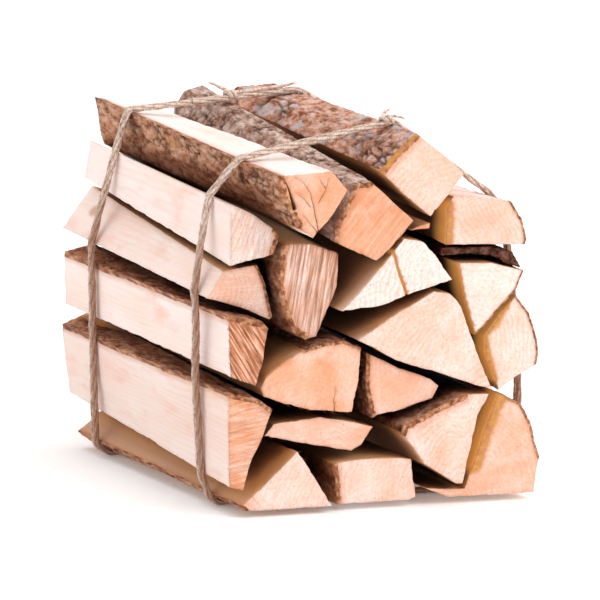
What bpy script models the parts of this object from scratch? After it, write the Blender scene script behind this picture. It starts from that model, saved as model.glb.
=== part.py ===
"""A bundle of split birch firewood, tied with jute twine near both ends.

The splits lie along Y with their near sawn ends at the front (-Y), X runs across those ends, and Z is up.
Sizes are in millimetres and become metres where the meshes are made. The bundle rests on the stretches of
twine that pass under it.
"""
import math
from dataclasses import dataclass

import bmesh
import bpy
from mathutils import Matrix, Vector, noise

MM = 0.001

TWINE_RADIUS = 2.0
GAP = 0.3
# The undersides of the bottom splits lie just over the twine that passes under them.
UNDER = 2 * TWINE_RADIUS + GAP

STATIONS = 9
RIVEN_STEP = 15.0
BARK_STEP = 9.0
RIVEN_DEPTH = 0.7
BARK_DEPTH = 1.6
CUT_SLOPE = 0.03

FRONT_TWINE_Y = -114.0
REAR_TWINE_Y = 96.0
# A strand drawn over the sharp edge that sticks out of the left side has slipped this far towards the front.
SLIP = 10.0
SLIP_HEIGHT = 135.0
SLIP_REACH = 38.0
STRAND_SPACING = 4.6
CORNER_STEP = math.radians(35)
PRESSED = 0.5
# The knot is two lumps, each this far from its middle along the strands and across them.
KNOT_HALF_SIZES = (4.4, 4.8, 3.3)
KNOT_STEP = 2.3
KNOT_SKEW = 1.0
KNOT_LIFT = 1.6


@dataclass
class Split:
    """One split log: the outlines of its two sawn ends, and which of their sides are bark.

    Outlines are (x, z) corners, clockwise from the top left as seen from the front. Where no rear outline is
    given, the far end is the front outline made smaller by taper and moved by shift.
    """
    name: str
    near: float
    far: float
    front: list
    rear: list = None
    taper: tuple = (0.95, 0.95)
    shift: tuple = (0.0, 0.0)
    bark: tuple = ()
    material: str = "birch_wood"


LEFT_COLUMN = [
    Split(
        "left_split_1", -155, 160,
        front=[(-105, 207), (-91, 201.5), (-72, 188), (-70, 183), (-75, 172), (-82, 170), (-106, 166)],
        rear=[(-92, 206), (-84, 202), (-70, 191), (-68, 184), (-73, 176), (-80, 175), (-97, 180)],
        bark=(2, 3),
    ),
    Split(
        "left_split_2", -145, 165,
        front=[(-107, 162), (-82, 165), (-76, 151), (-72, 129), (-74, 127), (-94, 136), (-118, 144)],
        rear=[(-89, 174), (-77, 171), (-73, 152), (-69, 134), (-73, 131), (-92, 137), (-111, 146)],
        bark=(1, 2),
    ),
    Split(
        "left_split_3", -165, 162,
        front=[(-112, 136), (-86, 130), (-82, 125), (-86, 101), (-91, 87), (-109, 94), (-111, 130)],
        rear=[(-110, 131), (-90, 135.3), (-82, 128), (-85, 104), (-89, 92), (-110, 94), (-111, 127)],
        bark=(0, 6),
    ),
    Split(
        "left_split_4", -165, 165,
        front=[(-112, 85), (-89, 79), (-79, 71), (-86, 52), (-93, 39), (-100, 18), (-110, 21), (-111, 79)],
        rear=[(-111, 81), (-92, 88), (-84, 75), (-86, 55), (-90, 44), (-97, 34), (-106, 33), (-112, 76)],
        bark=(0, 7),
    ),
]

TOP_ROW = [
    Split(
        "top_left_split", -180, 165,
        front=[(-82, 228), (-43, 230), (-32, 216), (-44, 198), (-57, 185), (-68, 193), (-79, 212)],
        rear=[(-87, 234), (-47, 227), (-40, 215), (-48, 201), (-63.5, 189.2), (-81, 201), (-85, 214)],
        bark=(4, 5, 6),
    ),
    Split(
        "top_middle_split", -165, 160,
        front=[(-22, 218), (-10, 219), (20, 191), (3, 173), (-7, 165), (-37, 180), (-36, 190)],
        rear=[(-25, 236), (-12, 239), (0, 224), (-4, 198), (-14, 189), (-34, 202), (-33, 226)],
        bark=(5, 6, 0),
    ),
    Split(
        "top_right_split", -165, 158,
        front=[(-5, 226), (8, 240), (21, 250), (50, 226), (55, 220), (44, 207), (31, 193), (13, 208)],
        rear=[(2, 229), (12, 238), (38, 238), (54, 230), (57, 224), (50, 211), (36, 197), (17, 211)],
        bark=(0, 1),
    ),
    Split(
        "wedge_sliver", -158, 120,
        front=[(19, 184), (26, 187), (34, 188), (33, 184)],
        taper=(0.8, 0.6),
    ),
]

RIGHT_COLUMN = [
    Split(
        "right_split_1", -160, 152,
        front=[(44, 198), (49, 206), (70, 204), (90, 200), (98, 188), (101, 174), (99, 170), (43, 173)],
        rear=[(46, 188), (50, 192), (70, 191), (86, 189), (94, 183), (97, 175), (96, 171), (45, 173)],
        bark=(3, 4, 5),
    ),
    Split(
        "bark_slab", -152, 146,
        front=[(43, 171), (65, 170), (84, 169), (94, 165), (99.5, 153.4), (88, 157.1), (84, 160.5), (78, 163),
               (65, 165), (43, 165)],
        taper=(0.97, 1.0),
        bark=(0, 1, 2, 3),
        material="birch_bark",
    ),
    Split(
        "right_split_2", -160, 155,
        front=[(52, 161), (76, 160), (88, 156.6), (99, 153), (93, 140), (82, 129), (70, 116), (64, 112),
               (56, 139)],
        taper=(0.96, 0.98),
        bark=(3,),
    ),
    Split(
        "right_split_3", -160, 160,
        front=[(94, 137), (103, 125), (109, 107), (110, 98), (108, 90), (93, 82), (80, 73.8), (71, 100),
               (71, 111), (80, 123)],
        taper=(0.97, 0.96),
        bark=(0, 1, 2, 3),
    ),
]

MIDDLE = [
    Split(
        "upper_centre_split", -165, 158,
        front=[(-32, 134), (-18, 147), (13, 180), (27, 177), (35, 168), (47, 150), (13, 141), (-4, 135)],
        taper=(0.97, 0.96),
    ),
    Split(
        "upright_split", -155, 150,
        front=[(-68, 179), (-48, 178), (-29, 171), (-30, 149), (-36, 135), (-45, 116), (-53, 114),
               (-63, 120), (-70, 139), (-73, 152), (-72, 167)],
        rear=[(-66, 184), (-49, 191), (-34, 190), (-31, 149), (-37, 135), (-45, 117), (-53, 115),
              (-62, 121), (-69, 139), (-71, 152), (-71, 167)],
        bark=(7, 8, 9, 10),
    ),
    Split(
        "centre_split", -165, 160,
        front=[(-20, 114), (10, 132), (34, 144), (45, 142), (52, 135), (60, 113), (75, 74.9), (38, 88),
               (6, 99)],
        taper=(0.98, 0.97),
    ),
    Split(
        "lower_left_split", -160, 155,
        front=[(-86, 85), (-82, 93), (-69, 102), (-55, 109), (-41, 113), (-27, 114), (-15, 108), (-17, 86),
               (-22, 65), (-51, 68), (-69, 73), (-84, 79)],
        taper=(0.97, 0.96),
        bark=(3, 4, 5),
    ),
    Split(
        "lower_middle_split", -158, 150,
        front=[(-11, 105), (12, 93), (34, 85), (40, 79), (35, 71), (12, 64), (-3, 62), (-8, 60), (-13, 83)],
        taper=(0.96, 0.96),
        bark=(7, 8),
    ),
    Split(
        "flat_split", -155, 152,
        front=[(-82, 52), (-75, 60), (-42, 63), (-21, 59), (-5, 54), (-13, 42), (-21, 38), (-58, 46)],
        taper=(0.96, 0.95),
        shift=(0, 1),
    ),
]

BOTTOM_ROW = [
    Split(
        "bottom_split_1", -165, 135,
        front=[(-61, 43), (-48, 23), (-37, UNDER), (-98, UNDER), (-102, 8), (-86, 21)],
        rear=[(-66, 37), (-54, 20), (-42, UNDER), (-102, UNDER), (-111, 12), (-96, 24)],
        bark=(3, 4),
    ),
    Split(
        "bottom_split_2", -160, 155,
        front=[(-35, 32), (-24, 34), (8, 34), (20, 32), (23, 6), (18, UNDER), (-33, UNDER)],
        rear=[(-33, 29), (-23, 31), (7, 31), (18, 29), (21, 6), (16, UNDER), (-31, UNDER)],
        bark=(6,),
    ),
    Split(
        "bottom_split_3", -165, 158,
        front=[(12, 56), (38, 68), (54, 74), (73, 73), (65, 59), (61, 42), (54, 14), (49, 14), (27, 28),
               (19, 40), (10, 51)],
        taper=(0.96, 0.97),
        bark=(0, 1, 10),
    ),
    Split(
        "bottom_split_4", -160, 160,
        front=[(80.6, 73.4), (96, 65.8), (105, 51), (110, 28), (106, UNDER), (45, UNDER), (29, 12), (57, 10),
               (70, 48)],
        rear=[(81, 72), (95, 68), (102, 48), (107, 27), (104, UNDER), (45, UNDER), (31, 9), (58, 9),
              (70, 45)],
        bark=(0, 1, 2),
    ),
]

SPLITS = LEFT_COLUMN + TOP_ROW + RIGHT_COLUMN + MIDDLE + BOTTOM_ROW

# Name, base colour (linear), roughness.
MATERIALS = {
    "birch_wood": ((0.86, 0.62, 0.47), 0.75),
    "birch_bark": ((0.33, 0.17, 0.10), 0.9),
    "jute_twine": ((0.55, 0.40, 0.31), 0.95),
}


def clear_scene():
    for obj in list(bpy.data.objects):
        bpy.data.objects.remove(obj, do_unlink=True)


def new_collection(name):
    collection = bpy.data.collections.new(name)
    bpy.context.scene.collection.children.link(collection)
    return collection


def make_material(name):
    colour, roughness = MATERIALS[name]
    material = bpy.data.materials.new(name)
    material.use_nodes = True
    shader = material.node_tree.nodes["Principled BSDF"]
    shader.inputs["Base Color"].default_value = (*colour, 1.0)
    shader.inputs["Roughness"].default_value = roughness
    shader.inputs["Metallic"].default_value = 0.0
    return material


def mix(a, b, share):
    return a + (b - a) * share


def centroid(outline):
    xs = [corner[0] for corner in outline]
    zs = [corner[1] for corner in outline]
    return sum(xs) / len(xs), sum(zs) / len(zs)


def rear_outline(split):
    """The far end's corners: as given, or tapered from the front's."""
    if split.rear:
        return split.rear
    cx, cz = centroid(split.front)
    return [
        (cx + (x - cx) * split.taper[0] + split.shift[0], cz + (z - cz) * split.taper[1] + split.shift[1])
        for x, z in split.front
    ]


def corners_at(split, share):
    """The outline's corners at this share of the way from the near end to the far end."""
    pairs = zip(split.front, rear_outline(split))
    return [(mix(a[0], b[0], share), mix(a[1], b[1], share)) for a, b in pairs]


def side_steps(split):
    """How many points each side of the outline gets, the same at every station."""
    steps = []
    for index, (x, z) in enumerate(split.front):
        next_x, next_z = split.front[(index + 1) % len(split.front)]
        length = math.hypot(next_x - x, next_z - z)
        step = BARK_STEP if index in split.bark else RIVEN_STEP
        steps.append(max(1, round(length / step)))
    return steps


def inward_depth(is_bark, x, y, z):
    """How far the surface lies inside the outline: long shallow waves on riven wood, lumps on bark."""
    if is_bark:
        return BARK_DEPTH * (0.5 + 0.5 * noise.noise(Vector((x * 0.09, y * 0.035, z * 0.09))))
    return RIVEN_DEPTH * (0.5 + 0.5 * noise.noise(Vector((x * 0.06, y * 0.008, z * 0.06))))


def ring_points(split, share, steps):
    """The points of one cross-section, moved in from the outline to give the surface its unevenness."""
    corners = corners_at(split, share)
    cx, cz = centroid(corners)
    y_middle = mix(split.near, split.far, share)
    slope = CUT_SLOPE * noise.noise(Vector((cx * 0.05, cz * 0.05, 3.0)))
    points = []
    for index, (x, z) in enumerate(corners):
        next_x, next_z = corners[(index + 1) % len(corners)]
        length = math.hypot(next_x - x, next_z - z)
        inward = ((next_z - z) / length, (x - next_x) / length)
        is_bark = index in split.bark
        for step in range(steps[index]):
            px = mix(x, next_x, step / steps[index])
            pz = mix(z, next_z, step / steps[index])
            py = y_middle + slope * ((px - cx) + (pz - cz))
            depth = inward_depth(is_bark, px, py, pz)
            if z <= UNDER and next_z <= UNDER:
                depth = 0.0
            points.append(Vector((px + inward[0] * depth, py, pz + inward[1] * depth)) * MM)
    return points


def make_split(split, collection, materials):
    """A split log: its cross-sections joined into a closed solid with sawn ends."""
    steps = side_steps(split)
    mesh = bpy.data.meshes.new(split.name)
    bm = bmesh.new()
    rings = []
    for station in range(STATIONS):
        points = ring_points(split, station / (STATIONS - 1), steps)
        rings.append([bm.verts.new(point) for point in points])
    count = len(rings[0])
    for near_ring, far_ring in zip(rings, rings[1:]):
        for index in range(count):
            after = (index + 1) % count
            bm.faces.new((near_ring[index], near_ring[after], far_ring[after], far_ring[index]))
    bm.faces.new(rings[0])
    bm.faces.new(reversed(rings[-1]))
    bm.normal_update()
    bmesh.ops.triangulate(bm, faces=bm.faces[:])
    bmesh.ops.recalc_face_normals(bm, faces=bm.faces[:])
    bm.to_mesh(mesh)
    bm.free()
    mesh.materials.append(materials[split.material])
    obj = bpy.data.objects.new(split.name, mesh)
    collection.objects.link(obj)
    return obj


def convex_hull(points):
    """The convex outline round (x, z) points, anticlockwise as seen from the front."""
    points = sorted(set(points))

    def half(ordered):
        chain = []
        for point in ordered:
            while len(chain) > 1:
                (ax, az), (bx, bz) = chain[-2], chain[-1]
                if (bx - ax) * (point[1] - az) - (bz - az) * (point[0] - ax) > 1e-6:
                    break
                chain.pop()
            chain.append(point)
        return chain[:-1]

    return half(points) + half(points[::-1])


def section_hull(y):
    """The hull of every split's corners close to this y."""
    points = []
    for split in SPLITS:
        for near_y in (y - STRAND_SPACING, y + STRAND_SPACING):
            share = (near_y - split.near) / (split.far - split.near)
            if 0.0 <= share <= 1.0:
                points += corners_at(split, share)
    return convex_hull([(round(x, 3), round(z, 3)) for x, z in points])


def slip(x, z):
    """How far the front twine has slipped towards the front at this place."""
    if x > 0:
        return 0.0
    return SLIP * math.exp(-(((z - SLIP_HEIGHT) / SLIP_REACH) ** 2))


def taut_route(y, strand_y):
    """Centre line of a strand pulled taut round the splits: straight runs, with an arc at each corner."""
    hull = section_hull(y)
    reach = TWINE_RADIUS + GAP
    route = []
    for index, corner in enumerate(hull):
        before = hull[index - 1]
        after = hull[(index + 1) % len(hull)]
        start = math.atan2(before[0] - corner[0], corner[1] - before[1])
        end = math.atan2(corner[0] - after[0], after[1] - corner[1])
        turn = (end - start) % (2 * math.pi)
        pieces = max(1, math.ceil(turn / CORNER_STEP))
        for piece in range(pieces + 1):
            angle = start + turn * piece / pieces
            x = corner[0] + math.cos(angle) * reach
            z = corner[1] + math.sin(angle) * reach
            slipped = slip(x, z) if y < 0 else 0.0
            route.append(Vector((x, strand_y - slipped, z)))
    return route


def tube(name, points, collection, cyclic=False):
    """A round cord along these points, in millimetres, as a mesh."""
    curve = bpy.data.curves.new(name, "CURVE")
    curve.dimensions = "3D"
    curve.bevel_depth = TWINE_RADIUS * MM
    curve.bevel_resolution = 2
    curve.use_fill_caps = not cyclic
    spline = curve.splines.new("POLY")
    spline.points.add(len(points) - 1)
    for spline_point, point in zip(spline.points, points):
        spline_point.co = (*(point * MM), 1.0)
    spline.use_cyclic_u = cyclic
    holder = bpy.data.objects.new(name, curve)
    collection.objects.link(holder)
    bpy.context.view_layer.update()
    evaluated = holder.evaluated_get(bpy.context.evaluated_depsgraph_get())
    mesh = bpy.data.meshes.new_from_object(evaluated)
    bpy.data.objects.remove(holder, do_unlink=True)
    bm = bmesh.new()
    bm.from_mesh(mesh)
    bmesh.ops.remove_doubles(bm, verts=bm.verts[:], dist=1e-6)
    bmesh.ops.recalc_face_normals(bm, faces=bm.faces[:])
    bm.to_mesh(mesh)
    bm.free()
    obj = bpy.data.objects.new(name, mesh)
    collection.objects.link(obj)
    return obj


def knot_lump(name, centre, direction, collection):
    """One half of the knot: a rounded lump that grips both strands."""
    mesh = bpy.data.meshes.new(name)
    bm = bmesh.new()
    bmesh.ops.create_uvsphere(bm, u_segments=12, v_segments=8, radius=MM)
    bm.to_mesh(mesh)
    bm.free()
    turn = direction.to_track_quat("X", "Z").to_matrix().to_4x4()
    mesh.transform(Matrix.Translation(centre * MM) @ turn @ Matrix.Diagonal((*KNOT_HALF_SIZES, 1.0)))
    lump = bpy.data.objects.new(name, mesh)
    collection.objects.link(lump)
    return lump


def union(base, others):
    """Join solids that meet into one closed body."""
    for other in others:
        modifier = base.modifiers.new("join", "BOOLEAN")
        modifier.operation = "UNION"
        modifier.solver = "EXACT"
        modifier.object = other
        evaluated = base.evaluated_get(bpy.context.evaluated_depsgraph_get())
        mesh = bpy.data.meshes.new_from_object(evaluated)
        base.modifiers.clear()
        base.data = mesh
        bpy.data.objects.remove(other, do_unlink=True)
    return base


def press_flat(obj):
    """Flatten the underside of the strands where the bundle's weight lies on them."""
    for vertex in obj.data.vertices:
        if vertex.co.z < PRESSED * MM:
            vertex.co.z = 0.0


def point_on_route(route, x):
    """The place on the upper side of the route at this x, and the direction of the run there."""
    for start, end in zip(route, route[1:] + route[:1]):
        if start.x >= x > end.x:
            share = (start.x - x) / (start.x - end.x)
            return start.lerp(end, share), (end - start).normalized()
    raise ValueError("the route has no upper run at this x")


def make_twine(name, y, knot_x, tails, collection, materials):
    """Two turns of twine pulled taut round the bundle, with their knot and its loose ends."""
    turns = []
    for number, side in enumerate((-0.5, 0.5)):
        route = taut_route(y, y + side * STRAND_SPACING)
        turns.append(tube(f"{name}_turn_{number + 1}", route, collection, cyclic=True))
    knot, direction = point_on_route(taut_route(y, y), knot_x)
    knot_parts = []
    for number, side in enumerate((-1.0, 1.0)):
        centre = knot + direction * side * KNOT_STEP + Vector((0.0, side * KNOT_SKEW, KNOT_LIFT))
        knot_parts.append(knot_lump(f"{name}_knot_{number + 1}", centre, direction, collection))
    for number, tail in enumerate(tails):
        points = [knot + Vector(offset) for offset in tail]
        knot_parts.append(tube(f"{name}_tail_{number + 1}", points, collection))
    twine = union(turns[0], [turns[1]] + knot_parts)
    twine.name = name
    twine.data.name = name
    twine.data.materials.clear()
    twine.data.materials.append(materials["jute_twine"])
    press_flat(twine)
    return twine


def centre_on_origin(objects):
    """Move the bundle so that its box stands centred on the origin."""
    corners = [vertex.co for obj in objects for vertex in obj.data.vertices]
    middle_x = (min(c.x for c in corners) + max(c.x for c in corners)) / 2
    middle_y = (min(c.y for c in corners) + max(c.y for c in corners)) / 2
    for obj in objects:
        obj.data.transform(Matrix.Translation((-middle_x, -middle_y, 0.0)))


# Where the loose ends run from each knot, as offsets from its centre.
FRONT_TAILS = [
    [(0.3, 0.2, 1.3), (3, -2, 3.2), (8, -6, 4.0), (14, -9, 2.6)],
    [(-0.4, 0.3, 1.2), (-2, 4, 3.4), (2, 10, 4.4), (8, 15, 3.6)],
]
REAR_TAILS = [
    [(-0.3, 0.2, 1.3), (-2, 3, 3.6), (-6, 8, 6.0), (-13, 14, 8.2)],
    [(0.4, -0.3, 1.2), (2, -4, 3.0), (6, -9, 3.6), (12, -13, 3.2)],
]


def build():
    clear_scene()
    collection = new_collection("firewood_bundle")
    materials = {name: make_material(name) for name in MATERIALS}
    objects = [make_split(split, collection, materials) for split in SPLITS]
    objects.append(make_twine("front_twine", FRONT_TWINE_Y, 20.0, FRONT_TAILS, collection, materials))
    objects.append(make_twine("rear_twine", REAR_TWINE_Y, -14.0, REAR_TAILS, collection, materials))
    centre_on_origin(objects)


build()
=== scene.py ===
import math
import random
from dataclasses import dataclass

import bmesh
import bpy
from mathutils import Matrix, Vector, noise
from mathutils.bvhtree import BVHTree
from mathutils.kdtree import KDTree


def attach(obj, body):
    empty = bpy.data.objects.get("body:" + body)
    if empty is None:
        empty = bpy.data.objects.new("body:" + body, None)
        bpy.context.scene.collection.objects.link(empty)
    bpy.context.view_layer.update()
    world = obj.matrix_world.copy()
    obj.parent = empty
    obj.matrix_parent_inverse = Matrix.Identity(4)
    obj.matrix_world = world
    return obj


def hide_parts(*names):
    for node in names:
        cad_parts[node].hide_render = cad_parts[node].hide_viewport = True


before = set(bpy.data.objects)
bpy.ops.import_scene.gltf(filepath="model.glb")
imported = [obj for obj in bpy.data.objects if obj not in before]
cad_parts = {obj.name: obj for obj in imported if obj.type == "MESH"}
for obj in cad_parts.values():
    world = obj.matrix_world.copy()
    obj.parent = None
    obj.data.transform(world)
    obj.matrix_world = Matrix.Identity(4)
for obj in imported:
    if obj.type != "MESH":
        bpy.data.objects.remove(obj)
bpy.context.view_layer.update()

# The left column of splits.
# Four billets of young birch, sawn across to a third of a metre, split along the grain and dried.
# They lie flat side out, pale and clean where the axe opened them. The lower two keep bark on their tops.
MM = 0.001
RING_SPACING = 3.6

CREAM = "#FFEFE7"
PEACH = "#FAB795"
FLESH = "#FCECE6"
FLESH_WARM = "#F6D2C0"
LATEWOOD = "#C98E6C"
STAIN = "#BC7A4E"
TORN = "#8A5436"
BLUSH = "#EA9466"
# Painted light and shade: amber for light through thin edges, and a warm amber in the stack's shade.
AMBER = "#D2964C"
AMBER_SHADE = "#CC9156"
# Painted shade: the brown that some split sides are darkened to.
PAINTED_SIDE_SHADE = "#C68E60"
# How strongly shaded wood glows with painted amber light, as an emission.
AMBER_GLOW = 0.45
# A painted highlight along the saw's streaks.
SAW_HIGHLIGHT = "#FFF8F4"
DEEP_SHADE = "#1E0A03"
BARK_SHADE = "#3A1D10"
INNER_BARK_DARK = "#74422A"
INNER_BARK = "#A66C4C"
INNER_BARK_LIGHT = "#D29E7C"
# The rays are thirty to a radian, and each is about 33 mm long.
RAY_SIZE = (1 / 30, 1 / 0.03, 1.0)
# The sockets of the node that mixes two colours.
SHARE, UNDER, OVER = 0, 6, 7
MIXED = 2


def linear(hex_colour):
    """An sRGB hex colour as linear red, green, blue and alpha."""
    channels = []
    for start in (1, 3, 5):
        value = int(hex_colour[start:start + 2], 16) / 255
        channels.append(value / 12.92 if value <= 0.04045 else ((value + 0.055) / 1.055) ** 2.4)
    return (*channels, 1.0)


def add_node(tree, kind, inputs=None, take=0, stops=None, **settings):
    """Add a shader node with its settings and links, and give the output that is taken from it.

    Each input is a value, a hex colour or another node's output.
    """
    node = tree.nodes.new("ShaderNode" + kind)
    for name, value in settings.items():
        setattr(node, name, value)
    if stops:
        ramp = node.color_ramp
        while len(ramp.elements) < len(stops):
            ramp.elements.new(0.5)
        for element, (position, colour) in zip(ramp.elements, stops):
            element.position = position
            element.color = linear(colour) if isinstance(colour, str) else (colour, colour, colour, 1.0)
    for socket, value in (inputs or {}).items():
        if isinstance(value, bpy.types.NodeSocket):
            tree.links.new(value, node.inputs[socket])
        elif isinstance(value, str):
            node.inputs[socket].default_value = linear(value)
        else:
            node.inputs[socket].default_value = value
    return node.outputs[take]


def new_material(name, roughness, specular):
    material = bpy.data.materials.new(name)
    material.use_nodes = True
    tree = material.node_tree
    shader = tree.nodes["Principled BSDF"]
    shader.inputs["Roughness"].default_value = roughness
    shader.inputs["Specular IOR Level"].default_value = specular
    return material, tree, shader


def put_on(tree, shader, colour, relief, strength, height):
    """Give a material its colour, and its relief as bumps of about this height in millimetres."""
    tree.links.new(colour, shader.inputs["Base Color"])
    bump = add_node(tree, "Bump", {"Height": relief, "Strength": strength, "Distance": height * MM})
    tree.links.new(bump, shader.inputs["Normal"])


def lay_over(tree, colour, finish, cover, bare=0.0, full=1.0, most=1.0):
    """Lay a finish over a colour: none where the cover is at bare, up to its most where it is full."""
    share = add_node(tree, "MapRange", {0: cover, 1: bare, 2: full, 3: 0.0, 4: most})
    mixed = {SHARE: share, UNDER: colour, OVER: finish}
    return add_node(tree, "Mix", mixed, take=MIXED, data_type="RGBA")


def place_in_mm(tree):
    """Where each point of the surface lies, in millimetres."""
    place = add_node(tree, "TexCoord", take="Object")
    return add_node(tree, "VectorMath", {0: place, 1: (1 / MM, 1 / MM, 1 / MM)}, operation="MULTIPLY")


def patches(tree, size, detail=3.0, roughness=0.55, place=None):
    """Soft noise in patches of about this size on each axis, in millimetres."""
    if place is None:
        place = place_in_mm(tree)
    cells = add_node(tree, "VectorMath", {0: place, 1: size}, operation="DIVIDE")
    grain = {"Vector": cells, "Scale": 1.0, "Detail": detail, "Roughness": roughness}
    return add_node(tree, "TexNoise", grain, take="Fac")


def from_pith(tree):
    """The slightly wavy offset across the grain from the pith of the log, in millimetres."""
    place = place_in_mm(tree)
    pith = add_node(tree, "Attribute", take="Vector", attribute_name="pith")
    away = add_node(tree, "VectorMath", {0: place, 1: pith}, operation="SUBTRACT")
    across = add_node(tree, "VectorMath", {0: away, 1: (1.0, 0.015, 1.0)}, operation="MULTIPLY")
    slow = add_node(tree, "VectorMath", {0: place, 1: (0.035, 0.004, 0.035)}, operation="MULTIPLY")
    drift = add_node(tree, "TexNoise", {"Vector": slow, "Scale": 1.0, "Detail": 2.0}, take="Color")
    centred = add_node(tree, "VectorMath", {0: drift, 1: (0.5, 0.5, 0.5)}, operation="SUBTRACT")
    waves = {0: centred, 1: (18.0, 0.0, 18.0), 2: across}
    return add_node(tree, "VectorMath", waves, operation="MULTIPLY_ADD")


def ring_line(tree, offset):
    """How far the wood is darkened by its growth rings: a fine line where each year's growth ended."""
    distance = add_node(tree, "VectorMath", {0: offset}, take="Value", operation="LENGTH")
    years = add_node(tree, "Math", {0: distance, 1: RING_SPACING}, operation="DIVIDE")
    phase = add_node(tree, "Math", {0: years}, operation="FRACT")
    stops = [(0.0, 0.2), (0.4, 0.0), (0.75, 0.5), (0.9, 1.0), (1.0, 0.2)]
    line = add_node(tree, "ValToRGB", {"Fac": phase}, stops=stops)
    clear = patches(tree, (22, 90, 22))
    strength = add_node(tree, "MapRange", {0: clear, 1: 0.4, 2: 0.65, 3: 0.05, 4: 1.0})
    return add_node(tree, "Math", {0: line, 1: strength}, operation="MULTIPLY")


def with_bark_band(tree, colour):
    """Lay the cut thickness of the bark, and the stain beside it, over the wood."""
    depth = add_node(tree, "Attribute", take="Fac", attribute_name="bark_depth")
    ragged = patches(tree, (3.0, 22.0, 3.0))
    edge = add_node(tree, "Math", {0: ragged, 1: 0.9, 2: depth}, operation="MULTIPLY_ADD")
    stained = lay_over(tree, colour, STAIN, edge, 2.6, 1.42, 0.5)
    layers = add_node(
        tree, "ValToRGB", {"Fac": patches(tree, (3.4, 14.0, 3.4), 4.0)},
        stops=[(0.35, INNER_BARK_DARK), (0.5, INNER_BARK), (0.66, INNER_BARK_LIGHT)],
    )
    return lay_over(tree, stained, layers, edge, 1.46, 1.38)


def painted_shelter_shade(tree, colour, warm, warmth):
    """Painted shade: where wood and bark face into the stack, they are painted warmer, then nearly black.
    """
    shelter = add_node(tree, "Attribute", take="Fac", attribute_name="shelter")
    painted_amber_light = add_node(tree, "Attribute", take="Fac", attribute_name="painted_amber_light")
    # Less of the painted dark where amber light is painted.
    unlit = add_node(tree, "Math", {0: 1.0, 1: painted_amber_light}, operation="SUBTRACT")
    warmed = lay_over(tree, colour, warm, shelter, 0.34, 0.68, warmth)
    return lay_over(tree, warmed, DEEP_SHADE, shelter, 0.76, 1.0, unlit)


def with_knot(tree, colour):
    """The mark of a side branch: a brown eye with an uneven edge, drawn out along the grain."""
    knot = add_node(tree, "Attribute", take="Vector", attribute_name="knot")
    away = add_node(tree, "VectorMath", {0: place_in_mm(tree), 1: knot}, operation="SUBTRACT")
    squeezed = add_node(tree, "VectorMath", {0: away, 1: (0.5, 0.42, 1.0)}, operation="MULTIPLY")
    distance = add_node(tree, "VectorMath", {0: squeezed}, take="Value", operation="LENGTH")
    ragged = patches(tree, (4, 8, 4))
    uneven = add_node(tree, "Math", {0: ragged, 1: 2.4, 2: distance}, operation="MULTIPLY_ADD")
    return lay_over(tree, colour, STAIN, uneven, 6.0, 3.4, 0.6)


def wood_colours(tree, pale, warm, warmth_name, ring_strength):
    """Pale to warm wood by the split's own warmth, in soft patches, darkened along its growth rings."""
    warmth = add_node(tree, "Attribute", take="Fac", attribute_name=warmth_name)
    soft = patches(tree, (24, 110, 24))
    uneven = add_node(tree, "Math", {0: soft, 1: 1.4, 2: warmth}, operation="MULTIPLY_ADD")
    base = lay_over(tree, pale, warm, uneven, 0.7, 1.7)
    offset = from_pith(tree)
    line = ring_line(tree, offset)
    return lay_over(tree, base, LATEWOOD, line, most=ring_strength), line, offset


def with_painted_amber_light(tree, colour):
    """Painted light: an amber glow, in chopped streaks, where light comes through a neighbour's thin edge.
    """
    glow = add_node(tree, "Attribute", take="Fac", attribute_name="painted_amber_light")
    chopped = patches(tree, (9.0, 40.0, 3.0), 4.0)
    edge = add_node(tree, "Math", {0: chopped, 1: 0.9, 2: glow}, operation="MULTIPLY_ADD")
    deep = lay_over(tree, STAIN, AMBER, chopped, 0.35, 0.65)
    return lay_over(tree, colour, deep, edge, 0.6, 1.15, 0.95)


def painted_amber_glow(tree, shader):
    """Painted light: an amber emission where the stack shades the split, for light through its thin edge.
    """
    painted_amber_light = add_node(tree, "Attribute", take="Fac", attribute_name="painted_amber_light")
    shelter = add_node(tree, "Attribute", take="Fac", attribute_name="shelter")
    glow = add_node(tree, "Math", {0: painted_amber_light, 1: shelter}, operation="MULTIPLY")
    strength = add_node(tree, "Math", {0: glow, 1: AMBER_GLOW}, operation="MULTIPLY")
    tree.links.new(strength, shader.inputs["Emission Strength"])
    shader.inputs["Emission Color"].default_value = linear(AMBER)


def make_riven_wood():
    """Wood torn open along the grain: matt and pale, with long faint streaks and shallow ridges."""
    material, tree, shader = new_material("riven_birch", 0.75, 0.25)
    colour, line, _ = wood_colours(tree, FLESH, FLESH_WARM, "side_warmth", 0.2)
    fibre = patches(tree, (1.3, 60, 1.3), 5.0, 0.6)
    streaked = lay_over(tree, colour, STAIN, fibre, 0.55, 0.78, 0.16)
    blushed = lay_over(tree, streaked, BLUSH, patches(tree, (16, 60, 16)), 0.54, 0.72, 0.3)
    pored = lay_over(tree, blushed, LATEWOOD, patches(tree, (0.8, 5.0, 0.8), 2.0), 0.66, 0.78, 0.2)
    # Painted shade: some split sides are painted a shaded brown.
    side_shade_share = add_node(tree, "Attribute", take="Fac", attribute_name="side_shade")
    side_shaded = lay_over(tree, pored, PAINTED_SIDE_SHADE, side_shade_share)
    marked = with_painted_amber_light(tree, with_knot(tree, with_bark_band(tree, side_shaded)))
    relief = add_node(tree, "Math", {0: line, 1: 0.3, 2: fibre}, operation="MULTIPLY_ADD")
    put_on(tree, shader, painted_shelter_shade(tree, marked, AMBER_SHADE, 0.85), relief, 0.5, 0.45)
    painted_amber_glow(tree, shader)
    return material


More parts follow.
